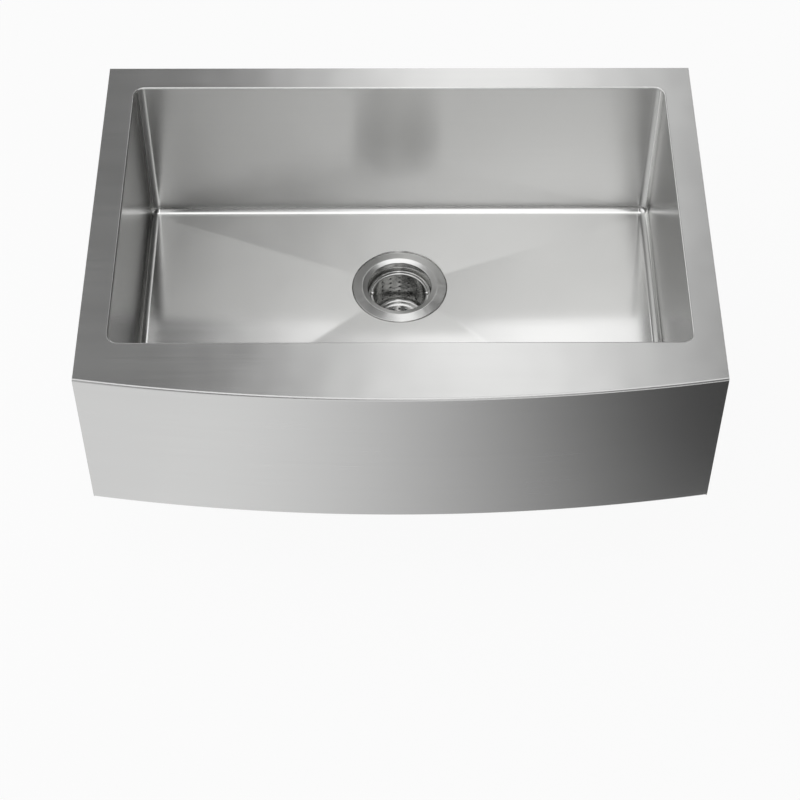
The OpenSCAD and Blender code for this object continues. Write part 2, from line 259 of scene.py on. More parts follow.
def floor_height(x, y):
    """Four planes that fall to the drain. The greater of the two slopes wins, softly, which makes the creases, and
    close to the drain the floor drops into its round seat."""
    side = np.abs(x) / (FLOOR_X + BOWL_R - COVE_R)
    y = y - DRAIN_Y
    reach = np.where(y > 0, FLOOR_BACK - DRAIN_Y, DRAIN_Y - FLOOR_FRONT) + BOWL_R - COVE_R
    end = np.abs(y) / reach
    slope = (side + end + np.sqrt((side - end) ** 2 + CREASE_SOFTNESS**2)) / 2
    radius = np.hypot(x, y)
    out_of_seat = smooth_step((radius - DISH_R) / DISH_STEP)
    return SEAT_Z + (FLOOR_EDGE - SEAT_Z) * slope * out_of_seat


def bowl_skin():
    """One sheet from the deck down to the drain. Down the wall and round the cove each point is the floor's
    rectangle moved out along its direction. On the floor it slides along a ray to the drain's centre. The floor,
    the long walls and the side walls are brushed in directions of their own."""
    rim = arc((BOWL_R + RIM_R, DECK_TOP - RIM_R), RIM_R, 90, 180, 6)
    low = FLOOR_EDGE + COVE_R
    wall_z = DECK_TOP - RIM_R + (low - DECK_TOP + RIM_R) * np.array([0.004, 0.1, 0.3, 0.5, 0.7, 0.9, 0.99])
    wall = np.stack([np.full(len(wall_z), BOWL_R), wall_z], 1)
    cove = arc((BOWL_R - COVE_R, low), COVE_R, 0, -90, 14)
    profile = np.concatenate([rim, wall, cove])
    upper = np.concatenate([CORE[:, None] + OUT[:, None] * profile[None, :, :1],
                            np.repeat(profile[None, :, 1:], len(CORE), 0)], 2)
    edge = upper[:, -1, :2] - (0, DRAIN_Y)
    reach = np.linalg.norm(edge, axis=1, keepdims=True)
    ring_r = SEAT_R + 12 * MM
    share = np.array([0.004, 0.015, 0.04, *np.linspace(0.08, 1, 26)])
    radius = reach + (ring_r - reach) * share[None]
    seat = np.array([76, 72, 69, 67, 65.6, 64.8, 64.4, 64.2, 64.0, 63.8, 63.6, 63.4, 63.2, 63, 62, 55, 45]) * MM
    radius = np.concatenate([radius, np.repeat(seat[None], len(CORE), 0)], 1)
    ray = (edge / reach)[:, None]
    place = ray * radius[:, :, None] + (0, DRAIN_Y)
    height = floor_height(place[..., 0], place[..., 1])
    lower = np.concatenate([place, height[..., None]], 2)
    front = np.concatenate([upper, lower], 1)
    piece = add_sheet(
        "bowl_skin", front, behind(front, SHEET, True), True, "sink", "sink_steel", floor_steel,
        stands_for=["back_wall", "front_wall", "left_wall", "right_wall", "wall_corners", "back_cove", "front_cove",
                    "left_cove", "right_cove", "cove_corners", "creased_floor", "drain_seat"])
    piece.data.materials.append(long_wall_steel)
    piece.data.materials.append(side_wall_steel)
    centre, facing = (np.empty(len(piece.data.polygons) * 3) for _ in range(2))
    piece.data.polygons.foreach_get("center", centre)
    piece.data.polygons.foreach_get("normal", facing)
    on_wall = centre[2::3] > low - 0.3 * COVE_R
    on_side = np.abs(facing[0::3]) > np.abs(facing[1::3])
    piece.data.polygons.foreach_set("material_index", (on_wall * (1 + on_side)).astype(int))
    return piece


def bow_line(x, radius):
    """Y of a circle about the bow's centre, at some x."""
    return BOW_CENTRE - np.sqrt(radius**2 - x**2)


def deck_edge():
    """The deck's outer edge, a point for each point of the walk: straight behind and beside the bowl, and bowed
    in front. A corner of the walk spreads over its corner of the deck."""
    edge = CORE.copy()
    back, front = OUT[:, 1] > 0.999, OUT[:, 1] < -0.999
    edge[back, 1] = REAR_Y
    edge[np.abs(OUT[:, 0]) > 0.999, 0] = np.sign(OUT[np.abs(OUT[:, 0]) > 0.999, 0]) * SINK_X
    edge[front, 1] = bow_line(edge[front, 0], BOW_R - FOLD_R)
    corner = ~back & ~front & (np.abs(OUT[:, 0]) < 0.999)
    sign = np.sign(OUT[corner])
    turn = np.degrees(np.arctan2(np.abs(OUT[corner, 1]), np.abs(OUT[corner, 0]))) / 45
    x = np.where(turn > 1, FLOOR_X + (SINK_X - FLOOR_X) * (2 - turn), SINK_X) * sign[:, 0]
    far_y = np.where(sign[:, 1] > 0, REAR_Y, bow_line(x, BOW_R - FOLD_R))
    near_y = CORE[corner, 1]
    edge[corner] = np.stack([x, np.where(turn < 1, near_y + (far_y - near_y) * turn, far_y)], 1)
    return edge


def deck_plate():
    """A flat sheet from the deck's outer edge to the fold at the bowl's opening."""
    edge = deck_edge()
    opening = CORE + OUT * (BOWL_R + RIM_R)
    flat = np.stack([edge, opening], 1)
    top = np.concatenate([flat, np.full(flat.shape[:2] + (1,), DECK_TOP)], 2)
    piece = add_sheet("deck_plate", top, top - (0, 0, SHEET), True, "sink", "sink_steel", steel,
                      stands_for=["rear_ledge", "left_ledge", "right_ledge", "front_ledge"])
    ends = np.empty(len(piece.data.edges) * 2, int)
    piece.data.edges.foreach_get("vertices", ends)
    place = np.array([v.co for v in piece.data.vertices])[ends].reshape(-1, 2, 3)
    outer = (np.abs(place[..., 0]) > SINK_X - 1e-6).all(1) | (place[..., 1] > REAR_Y - 1e-6).all(1)
    weight = piece.data.attributes.new("bevel_weight_edge", "FLOAT", "EDGE")
    weight.data.foreach_set("value", outer.astype(float))
    bevel = piece.modifiers.new("rounded sheet edge", "BEVEL")
    bevel.limit_method = "WEIGHT"
    bevel.width = 0.45 * MM
    bevel.segments = 3
    return piece


def apron_skin():
    """The bow's arc, carried down a section with the fold at the deck and the hem at the foot: each point of the
    section gives the arc's radius and height, and the arc ends at both sides of the sink."""
    fold = arc((-FOLD_R, DECK_TOP - FOLD_R), FOLD_R, 90, 0, 10)
    face = np.linspace(DECK_TOP - FOLD_R - 0.6 * MM, APRON_FOOT + HEM_R + 0.6 * MM, 12)
    hem = arc((-HEM_R, APRON_FOOT + HEM_R), HEM_R, 0, -90, 8)
    lip = [[-HEM_R - 0.6 * MM, APRON_FOOT], [-HEM_R - HEM_W, APRON_FOOT]]
    section = np.concatenate([fold, np.stack([0 * face, face], 1), hem, lip])
    x = np.linspace(SINK_X, -SINK_X, 161)[:, None]
    radius = BOW_R + section[None, :, 0]
    front = np.stack([x + 0 * radius, bow_line(x, radius), section[None, :, 1] + 0 * x], 2)
    back = behind(front, SHEET, False)
    back[..., 0] = front[..., 0]
    # The apron takes the darker copy of the steel: painted shade.
    return add_sheet("apron_skin", front, back, False, "sink", "sink_steel", shaded_apron_steel,
                     stands_for=["apron_front"])


def apron_return(name, side):
    """The end of the apron turned back along the side: a flat strip that stops just behind the bowed face."""
    y = np.array([CORNER_Y + RETURN_W, CORNER_Y + RETURN_MIDDLE, CORNER_Y + 0.6 * MM])
    z = np.array([0, APRON_FOOT / 2, APRON_FOOT])
    if side < 0:
        y = y[::-1]
    grid_y, grid_z = np.meshgrid(y, z, indexing="ij")
    front = np.stack([np.full(grid_y.shape, side * SINK_X), grid_y, grid_z], 2)[::-1]
    return add_sheet(name, front, front - (side * SHEET, 0, 0), False, "sink", "sink_steel", steel)


# The strainer and what hangs below it


def at_drain(points):
    """Points in mm about the drain's axis, put into the frame."""
    return points * MM + (0, DRAIN_Y, SEAT_Z)


def strainer_skin():
    """Turned pressing: flange band that rises to a ridge, step down to the lip, mouth, rest for the basket, cup and
    outlet."""
    profile = rounded([
        (61.9, 0.05, 0), (62.9, 0.05, 0.5), (62.9, 2.1, 0.8), (50.4, 3.7, 3.5), (43.1, 1.8, 1.2),
        (42.7, -14, 1.2), (37.9, -14, 1.2), (37.9, -70, 7), (20.3, -70, 0)])
    piece = add_turned_sheet("strainer_skin", profile * MM, 1.1 * MM, "sink", "strainer_steel", turned_steel,
                             stands_for=["strainer_body"])
    # The cup below the basket's rest takes a much darker steel: painted shade inside the cup, behind the basket's
    # holes.
    piece.data.materials.append(shaded_cup_steel)
    centre = np.empty(len(piece.data.polygons) * 3)
    piece.data.polygons.foreach_get("center", centre)
    piece.data.polygons.foreach_set("material_index", (centre[2::3] < SEAT_Z - 16 * MM).astype(int))
    return piece


def pierce(border, centre, radius):
    """A ring of points round a hole for each loop of border points: each point lies at the hole's radius in the
    direction of its border point, and a second ring just outside the hole keeps its edge crisp."""
    ray = border - centre[:, None]
    ray = ray / np.linalg.norm(ray, axis=2, keepdims=True)
    return np.stack([centre[:, None] + ray * radius, centre[:, None] + ray * radius * 1.25, border], 1)


def join_grids(grids):
    """Points and faces of (cell, ring, point) grids, with the points that neighbours share made one."""
    points, faces, base = [], [], 0
    for grid in grids:
        cells, rings, around = grid.shape[:3]
        index = base + np.arange(cells * rings * around).reshape(cells, rings, around)
        ahead = np.roll(index, -1, 2)
        faces.append(quads(index[:, :-1], ahead[:, :-1], ahead[:, 1:], index[:, 1:]))
        points.append(grid.reshape(-1, 3))
        base += cells * rings * around
    points, faces = np.concatenate(points), np.concatenate(faces)
    _, first, same = np.unique(np.round(points / 1e-6), axis=0, return_index=True, return_inverse=True)
    return points[first], same.reshape(-1)[faces]


def thicken(piece, thick):
    """Gives a pierced skin its thickness, behind the face that shows."""
    solid = piece.modifiers.new("sheet", "SOLIDIFY")
    solid.thickness, solid.offset = thick, -1
    return piece


def basket_wall():
    """The wall unrolled into equal cells with a hole in each, and rolled up again: the distance along the wall over
    its radius is the angle. Turned bands close it above and below."""
    side = 4
    wide = 2 * math.pi * INNER_R / WALL_COLUMNS
    share = np.arange(side) / side - 0.5
    half = 0.5 + 0 * share
    loop = np.concatenate([np.stack(c, 1) for c in (
        (share, -half), (half, share), (-share, half), (-half, -share))]) * (wide, WALL_PITCH)
    column, row = (a.ravel() for a in np.meshgrid(np.arange(WALL_COLUMNS), np.arange(WALL_ROWS)))
    centre = np.stack([(column + 0.5) * wide, FIRST_ROW - row * WALL_PITCH], 1)
    flat = pierce(centre[:, None] + loop, centre, WALL_HOLE_R)
    turn = flat[..., 0] / INNER_R
    cells = np.stack([INNER_R * np.cos(turn), INNER_R * np.sin(turn), flat[..., 1]], -1)
    low = FIRST_ROW - (WALL_ROWS - 0.5) * WALL_PITCH
    foot = BASKET_FOOT + BASKET_T
    lower = rounded([(INNER_R, low, 0), (INNER_R, foot, 5), (PLATEAU_R, foot, 0)], 8)
    upper = np.array([[INNER_R, BASKET_TOP - 0.4], [INNER_R, BASKET_TOP - 2], [INNER_R, FIRST_ROW + WALL_PITCH / 2]])
    around = np.linspace(0, 2 * math.pi, WALL_COLUMNS * side, endpoint=False)
    bands = [np.stack([band[:, :1] * np.cos(around), band[:, :1] * np.sin(around), band[:, 1:] + 0 * around], 2)[None]
             for band in (upper, lower)]
    points, faces = join_grids([cells, *bands])
    return thicken(add_piece("basket_skin", at_drain(points), faces, "basket", "strainer_steel",
                             basket_steel, stands_for=["basket_wall"]), BASKET_T * MM)


def basket_bottom():
    """The raised bottom: rings of cells, each the outline between two radii and two angles, with a hole in each."""
    top = BASKET_FOOT + 4
    grids = []
    for count, inside, outside, middle, inner_side, outer_side in ((6, 4.5, 13, 9, 4, 8), (12, 13, 19.6, 17, 4, 4)):
        step = 2 * math.pi / count
        edge = 3
        share = [np.arange(n) / n for n in (inner_side, outer_side, edge)]
        radius = np.concatenate([inside + (outside - inside) * share[2], outside + 0 * share[1],
                                 outside + (inside - outside) * share[2], inside + 0 * share[0]])
        angle = step * np.concatenate([0 * share[2] - 0.5, share[1] - 0.5, 0 * share[2] + 0.5, 0.5 - share[0]])
        turn = np.arange(count)[:, None] * step
        border = np.stack([radius * np.cos(turn + angle), radius * np.sin(turn + angle)], 2)
        centre = middle * np.concatenate([np.cos(turn), np.sin(turn)], 1)
        grids.append(pierce(border, centre, BOTTOM_HOLE_R))
    around = np.linspace(0, 2 * math.pi, 24, endpoint=False) - math.pi / 6
    ring = np.stack([np.cos(around), np.sin(around)], 1)
    grids.append(pierce(ring[None] * 4.5, np.zeros((1, 2)), BOTTOM_HOLE_R))
    grids = [np.concatenate([g, np.full(g.shape[:3] + (1,), top)], 3) for g in grids]
    around = np.linspace(0, 2 * math.pi, 48, endpoint=False) - math.pi / 12
    brim = rounded([(19.6, top, 0), (PLATEAU_R, top, 1.2), (PLATEAU_R, BASKET_FOOT, 0)], 6)
    grids.append(np.stack([brim[:, :1] * np.cos(around), brim[:, :1] * np.sin(around), brim[:, 1:] + 0 * around],
                          2)[None])
    points, faces = join_grids(grids)
    return thicken(add_piece("basket_bottom", at_drain(points), faces[:, ::-1], "basket", "bright_steel",
                             bright_steel, stands_for=["basket_floor"]), BASKET_T * MM)


def add_ring(name, grid, *rest, **more):
    """A grid that closes both ways: a section carried once round, with no end."""
    index = np.arange(grid.shape[0] * grid.shape[1]).reshape(grid.shape[:2])
    ahead, beside = np.roll(index, -1, 0), np.roll(index, -1, 1)
    return add_piece(name, grid, quads(index, ahead, np.roll(ahead, -1, 1), beside), *rest, **more)


def add_wire(name, path, radius, *rest, **more):
    """A round wire along a flat path: a ring of points stands across the path at each of its points, and rings
    that shrink to a point round off both ends."""
    path = np.asarray(path, float)
    along = np.gradient(path, axis=0)
    along /= np.linalg.norm(along, axis=1, keepdims=True)
    cap = np.radians([0, 30, 60, 84])
    path = np.concatenate([path[:1] - along[:1] * radius[0] * np.sin(cap[:0:-1, None]), path,
                           path[-1:] + along[-1:] * radius[-1] * np.sin(cap[1:, None])])
    radius = np.concatenate([radius[0] * np.cos(cap[:0:-1]), radius, radius[-1] * np.cos(cap[1:])])
    along = np.concatenate([np.repeat(along[:1], 3, 0), along, np.repeat(along[-1:], 3, 0)])
    across = np.cross(along, (0, 0, 1))
    turn = np.linspace(0, 2 * math.pi, 14, endpoint=False)[None, :, None]
    grid = path[:, None] + radius[:, None, None] * (np.cos(turn) * across[:, None] + np.sin(turn) * np.array([0, 0, 1]))
    index = np.arange(grid.shape[0] * 14).reshape(-1, 14)
    beside = np.roll(index, -1, 1)
    faces = quads(index[:-1], index[1:], beside[1:], beside[:-1])
    points = np.concatenate([grid.reshape(-1, 3), grid[:1].mean(1), grid[-1:].mean(1)])
    poles = [[len(points) - 2, *pair] for pair in zip(index[0].tolist(), beside[0].tolist())]
    poles += [[len(points) - 1, *pair] for pair in zip(beside[-1].tolist(), index[-1].tolist())]
    return add_piece(name, at_drain(points), faces.tolist() + poles, *rest, **more)


def basket_rim():
    """The rolled rim: a flattened round section, carried round the basket."""
    turn = np.radians(np.arange(0, 360, 22.5))
    section = np.stack([38.1 + 2.2 * np.cos(turn), BASKET_TOP - 0.6 + 0.6 * np.sin(turn)], 1)
    return add_ring("basket_rim_bead", turned(section * MM, 120), "basket", "bright_steel", bright_steel,
                    stands_for=["basket_rim"])


def rim_ear(name, side):
    """A small upright plate with the bore that a pin of the bail turns in: its outline, round at the top, and
    rings towards the bore."""
    turn = np.radians(np.linspace(0, 180, 13))
    outline = np.concatenate([np.stack([2.5 * np.cos(turn), -0.2 + 2.4 * np.sin(turn)], 1),
                              [[-2.5, -1.3], [-2.5, -2.4], [-1.2, -2.4], [0, -2.4], [1.2, -2.4], [2.5, -2.4],
                               [2.5, -1.3]]])
    rings = pierce(outline[None], np.zeros((1, 2)), EAR_BORE_R)[0].transpose(1, 0, 2)
    front = np.concatenate([np.full(rings.shape[:2] + (1,), side * EAR_X), side * rings[..., :1], rings[..., 1:]], 2)
    front = front + (0, 0, BAIL_Z)
    back = front - (side * EAR_T, 0, 0)
    return add_sheet(name, at_drain(front)[:, ::-1], at_drain(back)[:, ::-1], True, "basket", "bright_steel",
                     bright_steel)


def bail_wire():
    """Half a circle of wire, with a short pin turned inwards at each end."""
    bend = arc((BAIL_R - PIN_BEND_R, PIN_BEND_R), PIN_BEND_R, -90, 0, 5)
    half = np.concatenate([[[34.95, 0], [36.2, 0], [37.3, 0]], bend, arc((0, 0), BAIL_R, 4, 90, 40)])
    path = np.concatenate([half, half[-2::-1] * (-1, 1)])
    radius = np.full(len(path), WIRE_R)
    radius[:3] = radius[-3:] = PIN_R
    path = np.concatenate([path, np.full((len(path), 1), BAIL_Z)], 1)
    return add_wire("bail_wire", path, radius, "bail", "wire_steel", wire_steel, stands_for=["bail"])


def shell_skin():
    """The bell under the sink: rim, long slightly tapered side, shoulder and foot."""
    profile = rounded([(20.3, -90.5, 0), (27, -90.5, 1.5), (41.6, -72.5, 6), (47.5, -6.5, 1), (55, -6.5, 1.3),
                       (55, -4.6, 0)])
    return add_turned_sheet("shell_skin", profile * MM, 1.2 * MM, "sink", "bright_steel", bright_steel,
                            stands_for=["support_shell"])


def outlet_thread():
    """The threaded tail: between the collar and the free end the radius falls by the thread's depth in a helix,
    half of one plus the cosine of the height over the pitch, less the angle."""
    height = np.concatenate([[-128.5, -128.2, -127], np.linspace(-126, -113.4, 6), np.linspace(-112.5, -71, 180),
                             [-70.2, -70, -69.9, -69, -68.1, -68]])
    radius = np.where(height < -112.6, 19, 20.0)
    radius[0] = 18.6
    radius[-5:] = [24.2, 24.3, 24.3, 24.2, 23.9]
    profile = np.stack([radius, height], 1)
    front = turned(profile * MM, 96)
    turn = np.linspace(0, 2 * math.pi, 96, endpoint=False)[:, None]
    on_thread = (height[None] > THREAD_FOOT) & (height[None] < THREAD_TOP)
    cut = on_thread * THREAD_DEPTH / 2 * (1 + np.cos(height[None] / THREAD_PITCH * 2 * math.pi - turn)) * MM
    away = front[..., :2] - (0, DRAIN_Y)
    front[..., :2] -= away / np.linalg.norm(away, axis=2, keepdims=True) * cut[..., None]
    bore = turned(np.stack([0 * height + 17, height], 1) * MM, 96)
    return add_sheet("outlet_thread", front, bore, True, "sink", "green_plastic", green_plastic,
                     stands_for=["outlet_tail"])


def nut_skin():
    """The lock nut: its section goes round from the bore to the outside and back, and the outside swells into
    six lugs, by a smooth step of the distance from each lug's middle."""
    steps = 360
    turn = np.linspace(0, 2 * math.pi, steps, endpoint=False)
    off = np.abs((np.degrees(turn) + 30) % 60 - 30)
    lug = 1 - smooth_step((off - 4.4) / 1.4)
    low, high, soft = NUT_FOOT, NUT_TOP, NUT_EDGE
    outer = NUT_R + LUG_H * lug[:, None]
    lip = np.full((steps, 1), NUT_BORE_R + 0.6)
    radius = np.concatenate([np.full((steps, 2), NUT_BORE_R), lip, outer - 4 * soft, outer - soft,
                             outer - 0.3 * soft, outer, outer, outer - 0.3 * soft, outer - soft, outer - 4 * soft,
                             lip], 1)
    height = np.array([high - 0.6, low + 0.6, low, low, low, low + 0.3 * soft, low + soft, high - soft,
                       high - 0.3 * soft, high, high, high])
    points = np.stack([radius * np.cos(turn)[:, None], radius * np.sin(turn)[:, None],
                       np.repeat(height[None], steps, 0)], 2)
    return add_ring("nut_skin", at_drain(points), "sink", "green_plastic", green_plastic, stands_for=["lock_nut"])


# Finishes


class Value:
    """A shader socket on which plain sums work: each one adds a Math node."""

    def __init__(self, shader, socket):
        self.shader, self.socket = shader, socket

    def math(self, operation, a, b):
        return self.shader.value("ShaderNodeMath", {"operation": operation}, {0: a, 1: b})

    def __add__(self, other):
        return self.math("ADD", self, other)

    def __sub__(self, other):
        return self.math("SUBTRACT", self, other)

    def __rsub__(self, other):
        return self.math("SUBTRACT", other, self)

    def __mul__(self, other):
        return self.math("MULTIPLY", self, other)

    __radd__ = __add__
    __rmul__ = __mul__


class Shader:
    """The node tree of one finish."""

    def __init__(self, tree):
        self.tree = tree
        tree.nodes.clear()

    def node(self, kind, settings=None, inputs=None):
        """Adds a node: its settings first, then a value or a link for each named or numbered socket."""
        made = self.tree.nodes.new(kind)
        for name, value in (settings or {}).items():
            if name == "stops":
                ramp = made.color_ramp.elements
                while len(ramp) < len(value):
                    ramp.new(1)
                for element, (position, colour) in zip(ramp, value):
                    element.position, element.color = position, colour
            else:
                setattr(made, name, value)
        for name, value in (inputs or {}).items():
            if isinstance(value, Value):
                self.tree.links.new(value.socket, made.inputs[name])
            else:
                made.inputs[name].default_value = value
        return made

    def value(self, *rest):
        return Value(self, self.node(*rest).outputs[0])

    def noise(self, vector, scale, detail=2, roughness=0.5):
        return self.value("ShaderNodeTexNoise", {"noise_dimensions": "3D"},
                          {"Vector": vector, "Scale": scale, "Detail": detail, "Roughness": roughness})

    def stretched(self, vector, factors):
        return self.value("ShaderNodeVectorMath", {"operation": "MULTIPLY"}, {0: vector, 1: factors})

    def grey(self, low, high, factor):
        """A colour that runs from one grey or tint to another."""
        mix = self.node("ShaderNodeMix", {"data_type": "RGBA"}, {0: factor, 6: (*low, 1), 7: (*high, 1)})
        return Value(self, mix.outputs[2])


def finish(name):
    material = bpy.data.materials.new(name)
    material.use_nodes = True
    return material, Shader(material.node_tree)


def close_finish(shader, inputs):
    surface = shader.value("ShaderNodeBsdfPrincipled", None, inputs)
    shader.node("ShaderNodeOutputMaterial", None, {"Surface": surface})


def brushed_steel(name, dark, light, rough, streak, wave, across=0.0, turn=0.0):
    """Satin steel: streaks along the brushing bend its reflections a little, fine ones roughen and tint it, and slow
    waves bend them over a wide area. The gloss may spread further one way than the other, by the amount across, and
    turn says which way, as a share of a full turn."""
    material, shader = finish(name)
    grain = shader.value("ShaderNodeUVMap", {"uv_map": "grain"})
    place = Value(shader, shader.node("ShaderNodeTexCoord").outputs["Object"])
    fine = shader.noise(shader.stretched(grain, (9, 900, 1)), 1, 2, 0.5)
    broad = shader.noise(shader.stretched(grain, (1.7, 120, 1)), 1, 1, 0.5)
    cloud = shader.noise(place, 7, 2, 0.5)
    mark = fine * 0.6 + broad * 0.4
    ripple = shader.value("ShaderNodeBump", None, {"Strength": 1.0, "Distance": wave, "Height": cloud})
    bump = shader.value("ShaderNodeBump", None,
                        {"Strength": 1.0, "Distance": streak, "Height": broad, "Normal": ripple})
    close_finish(shader, {
        "Base Color": shader.grey(dark, light, mark * 0.7 + cloud * 0.3),
        "Metallic": 1.0,
        "Roughness": rough + (mark - 0.5) * 0.06 + (cloud - 0.5) * 0.04,
        "Anisotropic": across,
        "Anisotropic Rotation": turn,
        "Normal": bump,
    })
    return material


def turned_finish(name, dark, light, rough, streak):
    """Steel polished on a lathe: fine rings about the drain's axis."""
    material, shader = finish(name)
    place = Value(shader, shader.node("ShaderNodeTexCoord").outputs["Object"])
    centred = shader.value("ShaderNodeMapping", None, {"Vector": place, "Location": (0, -DRAIN_Y, 0)})
    flat = shader.stretched(centred, (1, 1, 0))
    radius = Value(shader, shader.node("ShaderNodeVectorMath", {"operation": "LENGTH"}, {0: flat}).outputs[1])
    apart = Value(shader, shader.node("ShaderNodeSeparateXYZ", None, {0: place}).outputs[2])
    rings = shader.value("ShaderNodeTexNoise", {"noise_dimensions": "1D"},
                         {"W": radius + apart * 1.3, "Scale": 1800, "Detail": 2})
    cloud = shader.noise(place, 45, 2, 0.5)
    bump = shader.value("ShaderNodeBump", None, {"Strength": 1.0, "Distance": streak, "Height": rings})
    close_finish(shader, {
        "Base Color": shader.grey(dark, light, rings * 0.6 + cloud * 0.4),
        "Metallic": 1.0,
        "Roughness": rough + (rings - 0.5) * 0.15 + (cloud - 0.5) * 0.1,
        "Normal": bump,
    })
    return material


def soft_finish(name, dark, light, rough, grain, depth):
    """Rubber or moulded plastic: a fine grain, and a slow change of tone."""
    material, shader = finish(name)
    place = Value(shader, shader.node("ShaderNodeTexCoord").outputs["Object"])
    fine = shader.noise(place, grain, 3, 0.6)
    cloud = shader.noise(place, 30, 2, 0.5)
    bump = shader.value("ShaderNodeBump", None, {"Strength": 1.0, "Distance": depth, "Height": fine})
    close_finish(shader, {
        "Base Color": shader.grey(dark, light, fine * 0.5 + cloud * 0.5),
        "Roughness": rough + (fine - 0.5) * 0.2,
        "Normal": bump,
    })
    return material


steel = brushed_steel("satin brushed steel", (0.76, 0.76, 0.752), (0.81, 0.81, 0.802), 0.20, 0.000010, 0.0006)
floor_steel = brushed_steel("satin bowl steel", (0.76, 0.76, 0.752), (0.81, 0.81, 0.802), 0.13, 0.000004, 0.0004)
long_wall_steel = brushed_steel("steel brushed along the wall", (0.76, 0.76, 0.752), (0.81, 0.81, 0.802), 0.32,
                                0.000004, 0.0004, across=0.9, turn=0.25)
side_wall_steel = brushed_steel("steel brushed up the wall", (0.76, 0.76, 0.752), (0.81, 0.81, 0.802), 0.22,
                                0.000004, 0.0004, across=0.8)
# Painted shade: the apron is the deck's steel with a darker colour, standing in for the shade it shows.
shaded_apron_steel = brushed_steel("brushed apron steel with painted shade", (0.59, 0.59, 0.585), (0.66, 0.66, 0.655), 0.26, 0.00002, 0.0004)
turned_steel = turned_finish("turned strainer steel", (0.68, 0.68, 0.67), (0.79, 0.79, 0.78), 0.18, 0.000004)
# Painted shade: the cup's colour is far darker than the other steel, standing in for the shade inside the cup; only its
# higher roughness is the cup's own dullness.
shaded_cup_steel = turned_finish("rough cup steel with painted shade", (0.14, 0.14, 0.14), (0.22, 0.22, 0.22), 0.45, 0.000004)
basket_steel = turned_finish("turned basket steel", (0.60, 0.60, 0.59), (0.72, 0.72, 0.71), 0.20, 0.000003)
bright_steel = turned_finish("polished steel", (0.72, 0.72, 0.71), (0.80, 0.80, 0.79), 0.14, 0.000003)
wire_steel = turned_finish("polished wire", (0.66, 0.66, 0.65), (0.76, 0.76, 0.75), 0.12, 0.000002)
black_rubber = soft_finish("black rubber", (0.012, 0.012, 0.012), (0.035, 0.035, 0.035), 0.6, 900, 0.0001)
damping_rubber = soft_finish("damping pad", (0.07, 0.07, 0.075), (0.13, 0.13, 0.135), 0.75, 500, 0.0003)
green_plastic = soft_finish("grey green plastic", (0.13, 0.18, 0.16), (0.20, 0.27, 0.25), 0.42, 700, 0.00006)

FINISH_OF_NODE = {
    "floor_pads": damping_rubber, "back_pad": damping_rubber, "side_pads": damping_rubber,
    "front_pad": damping_rubber, "flange_gasket": black_rubber, "sink_washer": black_rubber,
    "tail_washer": black_rubber,
}


def finish_nodes():
    for node, material in FINISH_OF_NODE.items():
        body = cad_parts[node]
        if not body.material_slots:
            body.data.materials.append(material)
        for slot in body.material_slots:
            slot.material = material


# The studio


def place_camera():
    """The camera that a fit to the photograph's corners gave: its yaw, pitch and roll turned into three axes."""
    yaw, pitch, roll = (math.radians(a) for a in (0.267, 51.34, 0.095))
    ahead = Vector((math.sin(yaw) * math.cos(pitch), math.cos(yaw) * math.cos(pitch), -math.sin(pitch)))
    level = Vector((math.cos(yaw), -math.sin(yaw), 0))
    over = level.cross(ahead)
    right = level * math.cos(roll) + over * math.sin(roll)
    up = over * math.cos(roll) - level * math.sin(roll)
    data = bpy.data.cameras.new("camera")
    data.sensor_fit = "HORIZONTAL"
    data.sensor_width = 36
    data.lens = 93.35
    data.clip_start = 0.02
    camera = bpy.data.objects.new("camera", data)
    camera.matrix_world = Matrix.Translation((-0.0079, -2.0292, 1.8622)) @ Matrix(
        (right, up, -ahead)).transposed().to_4x4()
    bpy.context.scene.collection.objects.link(camera)
    bpy.context.scene.camera = camera


def stage_plane(name, centre, across, along, material):
    """A flat stage card: its centre plus and minus two half edges."""
    centre, across, along = Vector(centre), Vector(across), Vector(along)
    mesh = bpy.data.meshes.new(name)
    mesh.from_pydata([centre - across - along, centre + across - along, centre + across + along,
                      centre - across + along], [], [(0, 1, 2, 3)])
    mesh.uv_layers.new(name="card").data.foreach_set("uv", (0, 0, 1, 0, 1, 1, 0, 1))
    mesh.materials.append(material)
    card = bpy.data.objects.new(name, mesh)
    bpy.context.scene.collection.objects.link(card)
    return card


def lay_floor():
    """A pale floor that the camera and the metal see nearly white, and that still takes the shadow."""
    material, shader = finish("pale floor")
    path = shader.node("ShaderNodeLightPath").outputs
    seen = Value(shader, path["Is Camera Ray"]) + Value(shader, path["Is Glossy Ray"])
    seen = seen + Value(shader, path["Is Transmission Ray"])
    matt = shader.value("ShaderNodeBsdfDiffuse", None, {"Color": (0.82, 0.82, 0.82, 1)})
    white = shader.value("ShaderNodeEmission", None, {"Color": (1, 1, 1, 1), "Strength": 1.0})
    mix = shader.value("ShaderNodeMixShader", None, {0: seen * FLOOR_GLOW, 1: matt, 2: white})
    shader.node("ShaderNodeOutputMaterial", None, {"Surface": mix})
    low = cad_box[0].z
    stage_plane("floor", (0, 0, low), (8, 0, 0), (0, 8, 0), material)


def hang_card(name, centre, across, along, start, end):
    """A card that only reflections see, running from one grey level to another across its width."""
    material, shader = finish(name)
    place = shader.value("ShaderNodeUVMap", {"uv_map": "card"})
    share = shader.value("ShaderNodeMapRange", {"interpolation_type": "SMOOTHSTEP"}, {
        0: Value(shader, shader.node("ShaderNodeSeparateXYZ", None, {0: place}).outputs[0]), 2: 0.7})
    colour = shader.grey((start,) * 3, (end,) * 3, share)
    glow = shader.value("ShaderNodeEmission", None, {"Color": colour, "Strength": 1.0})
    shader.node("ShaderNodeOutputMaterial", None, {"Surface": glow})
    card = stage_plane(name, centre, across, along, material)
    card.visible_camera = card.visible_diffuse = card.visible_shadow = False
    return card


